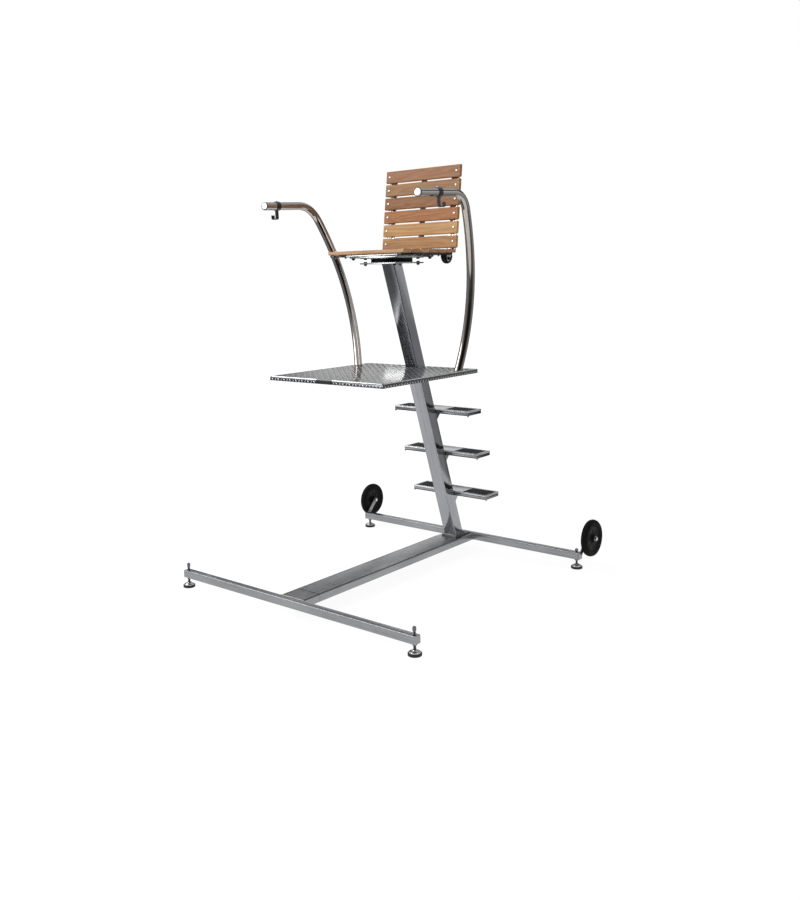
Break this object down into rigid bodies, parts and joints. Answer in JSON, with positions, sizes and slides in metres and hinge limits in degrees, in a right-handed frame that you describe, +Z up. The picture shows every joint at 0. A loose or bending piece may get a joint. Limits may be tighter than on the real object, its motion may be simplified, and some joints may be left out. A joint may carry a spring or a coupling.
{
  "type": "lifeguard chair",
  "caption": "Tall mobile lifeguard chair: leaning steel mast with steps, tread-plate platform, bent handrails, tilt wheels and a turning wooden slat seat.",
  "frame": {"origin": "on the floor under the middle of the bounding box", "axes": "+Z up, -Y the way the sitter faces, +X to the sitter's left"},
  "size_m": [1.624, 1.675, 2.1898],
  "materials": {
    "brushed_steel": "fine lengthwise brushing",
    "dark_steel": "dull brushed, in shade",
    "polished_steel": "polished",
    "bright_steel": "bright zinc or polished steel",
    "hook_steel": "dark grey strip with a worn edge",
    "tread_plate": "raised chequer pattern, satin",
    "black_plastic": "moulded black plastic",
    "foot_rubber": "matt black rubber",
    "tyre_rubber": "solid black rubber",
    "slat_wood": "oiled hardwood, warm brown, uneven between boards",
    "batten_wood": "darker hardwood"
  },
  "bodies": {
    "frame": {"front_crossbar": "brushed_steel", "rear_crossbar": "brushed_steel", "spine_front_stub": "brushed_steel", "base_spine": "brushed_steel", "spine_joint_sleeve": "dark_steel", "wheel_bracket_left": "brushed_steel", "wheel_bracket_right": "brushed_steel", "wheel_axle_left": "bright_steel", "wheel_axle_right": "bright_steel", "mast_foot_plate": "dark_steel", "mast_tube": "brushed_steel", "lower_step": "brushed_steel", "middle_step": "brushed_steel", "upper_step": "brushed_steel", "platform_plate": "tread_plate", "platform_front_rail": "brushed_steel", "platform_beam_left": "brushed_steel", "platform_beam_right": "brushed_steel", "front_edge_buffer": "foot_rubber", "handrail_left": "polished_steel", "handrail_right": "polished_steel", "handrail_cap_left": "bright_steel", "handrail_cap_right": "bright_steel", "hook_left": "hook_steel", "hook_right": "hook_steel", "mast_top_plate": "brushed_steel", "swivel_lower_flange": "dark_steel", "swivel_lower_race": "black_plastic", "swivel_ball_cage": "bright_steel"},
    "foot_front_left": {"levelling_foot_front_left": "foot_rubber"},
    "foot_front_right": {"levelling_foot_front_right": "foot_rubber"},
    "foot_rear_left": {"levelling_foot_rear_left": "foot_rubber"},
    "foot_rear_right": {"levelling_foot_rear_right": "foot_rubber"},
    "wheel_left": {"wheel_tyre_left": "tyre_rubber", "wheel_hub_left": "black_plastic"},
    "wheel_right": {"wheel_tyre_right": "tyre_rubber", "wheel_hub_right": "black_plastic"},
    "seat": {"swivel_upper_race": "black_plastic", "swivel_upper_flange": "dark_steel", "seat_mounting_plate": "brushed_steel", "seat_frame": "dark_steel", "seat_slat_1": "slat_wood", "seat_slat_2": "slat_wood", "seat_slat_3": "slat_wood", "seat_slat_4": "slat_wood", "seat_slat_5": "slat_wood", "seat_slat_6": "slat_wood", "hinge_housing_left": "black_plastic", "hinge_housing_right": "black_plastic", "backrest_pivot_left": "bright_steel", "backrest_pivot_right": "bright_steel"},
    "backrest": {"backrest_bar_left": "polished_steel", "backrest_bar_right": "polished_steel", "backrest_batten": "batten_wood", "backrest_slat_1": "slat_wood", "backrest_slat_2": "slat_wood", "backrest_slat_3": "slat_wood", "backrest_slat_4": "slat_wood", "backrest_slat_5": "slat_wood", "backrest_slat_6": "slat_wood"}
  },
  "joints": [
    {"name": "level_front_left", "type": "slide", "parent": "frame", "child": "foot_front_left", "axis": [0, 0, 1], "range_m": [-0.01, 0.015]},
    {"name": "level_front_right", "type": "slide", "parent": "frame", "child": "foot_front_right", "axis": [0, 0, 1], "range_m": [-0.01, 0.015]},
    {"name": "level_rear_left", "type": "slide", "parent": "frame", "child": "foot_rear_left", "axis": [0, 0, 1], "range_m": [-0.005, 0.015]},
    {"name": "level_rear_right", "type": "slide", "parent": "frame", "child": "foot_rear_right", "axis": [0, 0, 1], "range_m": [-0.005, 0.015]},
    {"name": "wheel_roll_left", "type": "hinge", "parent": "frame", "child": "wheel_left", "pos_m": [-0.78, 0.7375, 0.155], "axis": [1, 0, 0], "continuous": true},
    {"name": "wheel_roll_right", "type": "hinge", "parent": "frame", "child": "wheel_right", "pos_m": [0.78, 0.7375, 0.155], "axis": [1, 0, 0], "continuous": true},
    {"name": "seat_swivel", "type": "hinge", "parent": "frame", "child": "seat", "pos_m": [0, 0.02323, 1.686], "axis": [0, 0, 1], "continuous": true},
    {"name": "backrest_recline", "type": "hinge", "parent": "seat", "child": "backrest", "pos_m": [0, 0.24523, 1.69], "axis": [-1, 0, 0], "range_deg": [0, 12]}
  ]
}
